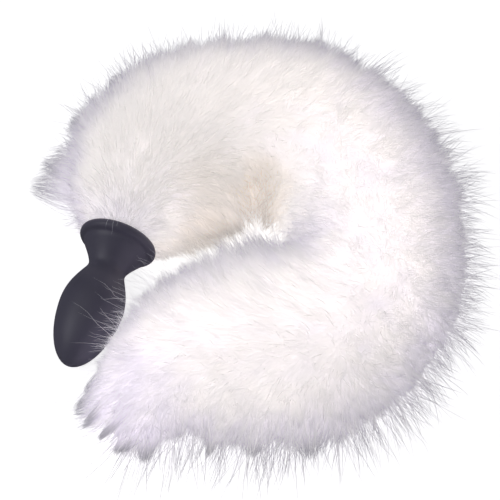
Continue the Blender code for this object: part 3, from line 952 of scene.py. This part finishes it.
def build_guard_hairs(fur, tail, guard, finish):
    """Long fine hairs that stand out of the pile, and tufts of them at its corners."""
    dice = np.random.default_rng(fur.seed * 100 + 40)
    share, around = scatter(dice, tail, 8200, 0.0, 1.0, math.radians(150), edges_first)
    across = 1300
    share = np.concatenate((share, dice.uniform(0.14, 0.42, across)))
    around = np.concatenate((around, np.radians(dice.uniform(52, 118, across))))
    loose = len(share)
    per_tuft = 180
    rows = np.repeat(np.array(TUFTS), per_tuft, axis=0)
    owner = np.repeat(np.arange(len(TUFTS)), per_tuft)
    step = dice.normal(0, MM, (len(rows), 2)) * rows[:, 4:5]
    share = np.concatenate((share, np.clip(rows[:, 0] + step[:, 0] / fur.tail_length, 0, 1)))
    around = np.concatenate((around, np.radians(rows[:, 1]) + step[:, 1] / (35 * MM)))
    count = len(share)
    root, normal, forward = tail.skin(share, around)
    length, lean = lay_of(GUARD_LAY, share, around)
    lean += np.radians(dice.normal(0, 12, count))
    swing = np.radians(dice.normal(0, 13, count))
    length *= dice.uniform(0.40, 1.0, count)
    lean[loose:] = np.radians(rows[:, 2] + dice.normal(0, 5, len(rows)))
    swing[loose:] *= 0.4
    length[loose:] = rows[:, 3] * MM * dice.uniform(0.55, 1.05, len(rows))
    out = heading_of(normal, forward, lean, swing)
    bend = forward * 0.05 - UP * 0.15 + dice.normal(0, 0.10, (count, 3))
    stops = np.array((0.0, 0.3, 0.58, 0.82, 1.0))
    shift, size = tufted(np.random.default_rng(fur.seed * 100 + 70), tail, share, around)
    shift[loose - across:] = 0.0
    length[:loose - across] *= size[:loose - across]
    lines = curve_of(root, out, bend, length, stops)
    lines += (forward * shift[:, None])[:, None] * (stops ** 2)[:, None]
    tufts = lines[loose:]
    gather(tufts, owner, len(TUFTS), (0.72 * stops ** 1.5)[None, :, None])
    lines = near_floor(lines, 0.3 * MM + dice.random(count)[:, None] * 1.0 * MM)
    lines = guard.clear(lines)
    widths = 0.5 * fur.hair_width * np.array((0.80, 0.92, 0.80, 0.56))
    half_widths = widths * dice.uniform(0.75, 1.2, (count, 1))
    facing = unit(normal * 0.6 + UP + dice.normal(0, 0.4, (count, 3)))
    normals = unit(normal * 0.7 + UP * 0.6 + dice.normal(0, 0.15, (count, 3)))
    tone = shade_of(dice, share, around)
    # Painted shade: the hairs across the curl take its brownish shade colours
    tone[loose - across:loose] = dice.uniform(0.02, 0.22, across)
    mesh = strand_mesh("guard_hairs", lines, half_widths, facing, normals, tone)
    piece = shown_object("guard_hairs", mesh, finish, smooth=False)


def build_stray_hairs(fur, tail, guard):
    """Single hairs that fall across the plug."""
    dice = np.random.default_rng(fur.seed * 100 + 50)
    counts = [int(row[5]) for row in STRAYS]
    rows = np.repeat(np.array(STRAYS), counts, axis=0)
    count = len(rows)
    step = dice.normal(0, MM, (count, 2)) * rows[:, 6:7]
    share = np.clip(rows[:, 0] + step[:, 0] / fur.tail_length, 0, 1)
    around = np.radians(rows[:, 1]) + step[:, 1] / (30 * MM)
    root, normal, forward = tail.skin(share, around, 1.0)
    heading = np.radians(rows[:, 2] + dice.normal(0, 9, count))
    rise = np.radians(rows[:, 3] + dice.normal(0, 7, count))
    out = np.stack((
        np.cos(heading) * np.cos(rise), np.sin(heading) * np.cos(rise), np.sin(rise)), axis=-1)
    length = rows[:, 4] * MM * dice.uniform(0.72, 1.05, count)
    bend = -UP * 0.30 + dice.normal(0, 0.05, (count, 3))
    stops = np.linspace(0.0, 1.0, 9)
    lines = curve_of(root, out, bend, length, stops)
    lines = guard.clear(near_floor(lines, 0.5 * MM), 0.6 * MM)
    half_widths = 0.5 * 0.13 * MM * np.linspace(1.0, 0.5, 8) * dice.uniform(0.8, 1.2, (count, 1))
    facing = unit(UP + np.array((0.0, -0.7, 0.0)) + dice.normal(0, 0.15, (count, 3)))
    # Tones near the edge end of the ramps, whose colours are painted shade, with tips darkened by
    # 0.9
    tone = dice.uniform(0.82, 0.95, count)
    finish = pile_finish("stray_hair", fur, 0.1, 0.9)
    mesh = strand_mesh("stray_hairs", lines, half_widths, facing, facing, tone)
    piece = shown_object("stray_hairs", mesh, finish, smooth=False)


# --- the stage ---


def build_stage():
    scene = bpy.context.scene
    work = bmesh.new()
    bmesh.ops.create_grid(work, x_segments=1, y_segments=1, size=4.0)
    mesh = bpy.data.meshes.new("floor")
    work.to_mesh(mesh)
    work.free()
    paper = Finish("pale_paper")
    path = paper.node("ShaderNodeLightPath")
    spread = paper.node(
        "ShaderNodeMix", {"data_type": "RGBA"}, Factor=path.outputs["Is Glossy Ray"])
    paper.feed(spread.inputs[6], (0.20, 0.20, 0.20, 1.0))
    paper.feed(spread.inputs[7], (0.02, 0.02, 0.02, 1.0))
    lit = paper.node(
        "ShaderNodeMix", {"data_type": "RGBA"}, Factor=path.outputs["Is Camera Ray"])
    paper.feed(lit.inputs[6], spread.outputs[2])
    paper.feed(lit.inputs[7], (0.80, 0.80, 0.80, 1.0))
    tone = paper.node(
        "ShaderNodeMix", {"data_type": "RGBA"}, Factor=path.outputs["Is Glossy Ray"])
    paper.feed(tone.inputs[6], (0.62, 0.62, 0.62, 1.0))
    paper.feed(tone.inputs[7], (0.10, 0.10, 0.10, 1.0))
    paper.set(Base_Color=tone.outputs[2], Roughness=0.9)
    paper.set(Emission_Color=lit.outputs[2], Emission_Strength=1.0)
    mesh.materials.append(paper.material)
    floor = bpy.data.objects.new("floor", mesh)
    scene.collection.objects.link(floor)

    world = bpy.data.worlds.new("studio")
    world.use_nodes = True
    air = world.node_tree.nodes["Background"]
    air.inputs["Color"].default_value = (0.93, 0.94, 1.0, 1.0)
    dim = world.node_tree.nodes.new("ShaderNodeMapRange")
    dim.inputs["To Min"].default_value = 0.22
    dim.inputs["To Max"].default_value = 0.05
    world.node_tree.links.new(
        world.node_tree.nodes.new("ShaderNodeLightPath").outputs["Is Glossy Ray"],
        dim.inputs["Value"])
    world.node_tree.links.new(dim.outputs["Result"], air.inputs["Strength"])
    scene.world = world

    def softbox(name, place, size, power, colour):
        lamp = bpy.data.lights.new(name, "AREA")
        lamp.shape = "SQUARE"
        lamp.size = size
        lamp.energy = power
        lamp.color = colour
        made = bpy.data.objects.new(name, lamp)
        made.location = place
        made.rotation_euler = (-Vector(place)).to_track_quat("-Z", "Y").to_euler()
        scene.collection.objects.link(made)

    softbox("overhead", (-0.3, 0.0, 1.7), 1.5, 2.7, (1.0, 0.98, 0.97))
    softbox("fill_left", (-1.0, -0.1, 0.9), 0.7, 3.9, (0.97, 0.97, 1.0))

    lens = bpy.data.cameras.new("camera")
    lens.sensor_width = 36.0
    lens.lens = 161.5
    camera = bpy.data.objects.new("camera", lens)
    target = Vector((-1.71 * MM, -1.98 * MM, 35.0 * MM))
    elevation = math.radians(55.0)
    back = Vector((0.0, -math.cos(elevation), math.sin(elevation)))
    camera.location = target + back * 1.2
    camera.rotation_euler = (-back).to_track_quat("-Z", "Y").to_euler()
    lens.clip_start = 0.05
    lens.clip_end = 30.0
    scene.collection.objects.link(camera)
    scene.camera = camera
    scene.view_settings.view_transform = "Standard"


# --- operators, panel and run ---


def shared_forms(context):
    plug, fur = context.scene.fox_plug, context.scene.fox_fur
    tail = Tail(plug, fur)
    return plug, fur, tail, PlugGuard(plug)


class FOX_OT_plug(bpy.types.Operator):
    """Build the matte silicone plug"""
    bl_idname = "fox.plug"
    bl_label = "Plug"

    def execute(self, context):
        build_plug(context.scene.fox_plug)
        return {"FINISHED"}


class FOX_OT_post(bpy.types.Operator):
    """Give the stud between plug and tail its finish"""
    bl_idname = "fox.post"
    bl_label = "Stud"

    def execute(self, context):
        dress_post()
        return {"FINISHED"}


class FOX_OT_undercoat(bpy.types.Operator):
    """Build the tail's body under the pile"""
    bl_idname = "fox.undercoat"
    bl_label = "Undercoat"

    def execute(self, context):
        plug, fur, tail, guard = shared_forms(context)
        build_undercoat(plug, fur, tail)
        return {"FINISHED"}


class FOX_OT_pile(bpy.types.Operator):
    """Build the dense pile, stretch by stretch"""
    bl_idname = "fox.pile"
    bl_label = "Dense pile"

    def execute(self, context):
        plug, fur, tail, guard = shared_forms(context)
        finish = pile_finish("fur_pile", fur, 0.50)
        for row in range(len(PILE_STRETCHES)):
            build_pile(fur, tail, guard, row, finish)
        return {"FINISHED"}


class FOX_OT_guard_hairs(bpy.types.Operator):
    """Build the long fine hairs along the edges"""
    bl_idname = "fox.guard_hairs"
    bl_label = "Guard hairs"

    def execute(self, context):
        plug, fur, tail, guard = shared_forms(context)
        # 0.72 darkens the painted shade on the long hairs' tips
        build_guard_hairs(fur, tail, guard, pile_finish("guard_hair", fur, 0.15, 0.72))
        return {"FINISHED"}


class FOX_OT_stray_hairs(bpy.types.Operator):
    """Build the single hairs that fall across the plug"""
    bl_idname = "fox.stray_hairs"
    bl_label = "Stray hairs"

    def execute(self, context):
        plug, fur, tail, guard = shared_forms(context)
        build_stray_hairs(fur, tail, guard)
        return {"FINISHED"}


class FOX_OT_stage(bpy.types.Operator):
    """Set up the floor, the lights and the camera"""
    bl_idname = "fox.stage"
    bl_label = "Stage"

    def execute(self, context):
        build_stage()
        return {"FINISHED"}


OPERATORS = (
    FOX_OT_plug, FOX_OT_post, FOX_OT_undercoat, FOX_OT_pile, FOX_OT_guard_hairs, FOX_OT_stray_hairs,
    FOX_OT_stage,
)


class FOX_PT_panel(bpy.types.Panel):
    """Lists the tail's sizes and the pieces that can be built"""
    bl_idname = "FOX_PT_panel"
    bl_label = "Fox Tail"
    bl_space_type = "VIEW_3D"
    bl_region_type = "UI"
    bl_category = "Fox Tail"

    def draw(self, context):
        for sizes in (context.scene.fox_plug, context.scene.fox_fur):
            for name in sizes.__annotations__:
                self.layout.prop(sizes, name)
        for operator in OPERATORS:
            self.layout.operator(operator.bl_idname)


CLASSES = (PlugSizes, FurSizes) + OPERATORS + (FOX_PT_panel,)


def register():
    for item in CLASSES:
        bpy.utils.register_class(item)
    bpy.types.Scene.fox_plug = bpy.props.PointerProperty(type=PlugSizes)
    bpy.types.Scene.fox_fur = bpy.props.PointerProperty(type=FurSizes)


def unregister():
    del bpy.types.Scene.fox_plug
    del bpy.types.Scene.fox_fur
    for item in reversed(CLASSES):
        bpy.utils.unregister_class(item)


def main():
    register()
    bpy.ops.fox.plug()
    bpy.ops.fox.post()
    bpy.ops.fox.undercoat()
    bpy.ops.fox.pile()
    bpy.ops.fox.guard_hairs()
    bpy.ops.fox.stray_hairs()
    bpy.ops.fox.stage()


if __name__ == "__main__":
    main()
